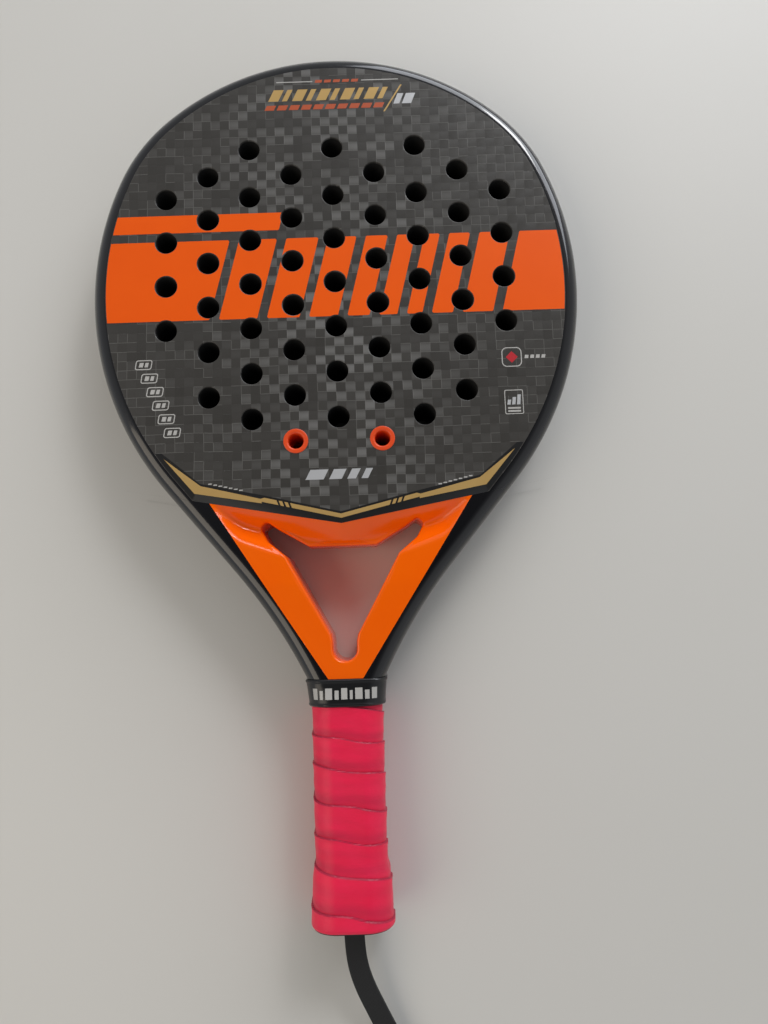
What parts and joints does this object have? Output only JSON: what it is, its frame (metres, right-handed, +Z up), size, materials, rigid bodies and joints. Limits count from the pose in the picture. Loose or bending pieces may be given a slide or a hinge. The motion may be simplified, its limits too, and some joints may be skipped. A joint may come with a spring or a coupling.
{
  "type": "padel racket",
  "caption": "Padel racket with a drilled foam-cored round head, hollow moulded frame, open throat bridge, wrapped handle and adjustable wrist strap.",
  "frame": {"origin": "under the middle of the racket's length and width, on the surface that it lies on, on its back face; the wrist strap isn't counted", "axes": "+Y along the racket from butt to head, +X to the right seen from the front face, +Z up out of the front face"},
  "size_m": [0.256, 0.7352, 0.038],
  "materials": {
    "carbon_gloss": "gloss clear coat over black carbon",
    "woven_face": "satin lacquer over woven carbon",
    "orange_moulding": "gloss paint",
    "core_foam": "cut closed-cell foam",
    "inner_foam": "rigid foam",
    "pallet_foam": "rigid foam",
    "eyelet": "moulded",
    "clear_tape": "clear film",
    "base_grip": "embossed synthetic",
    "overgrip": "matt stretched film",
    "finishing_tape": "cloth tape",
    "collar_rubber": "satin",
    "cap_plastic": "fine texture",
    "staple_steel": "bright wire",
    "strap_webbing": "woven",
    "slider_plastic": "moulded"
  },
  "bodies": {
    "racket": {"back_face": "woven_face", "back_pallet": "pallet_foam", "base_grip": "base_grip", "butt_cap": "cap_plastic", "cap_staples": "staple_steel", "core_foam": "core_foam", "eyelet_back_left": "eyelet", "eyelet_back_right": "eyelet", "eyelet_front_left": "eyelet", "eyelet_front_right": "eyelet", "finishing_tape": "finishing_tape", "frame_tube": "carbon_gloss", "front_face": "woven_face", "front_pallet": "pallet_foam", "grip_collar": "collar_rubber", "handle_spacer": "inner_foam", "overgrip": "overgrip", "rim_protector": "clear_tape", "strap_knot": "strap_webbing", "strap_loop": "strap_webbing", "strap_stem": "strap_webbing", "throat_bridge": "orange_moulding", "throat_foam": "inner_foam"},
    "slider": {"strap_slider": "slider_plastic"}
  },
  "joints": [
    {"name": "slider_slide", "type": "slide", "parent": "racket", "child": "slider", "axis": [-0.4191, 0.908, 0], "range_m": [0, 0.02]}
  ]
}
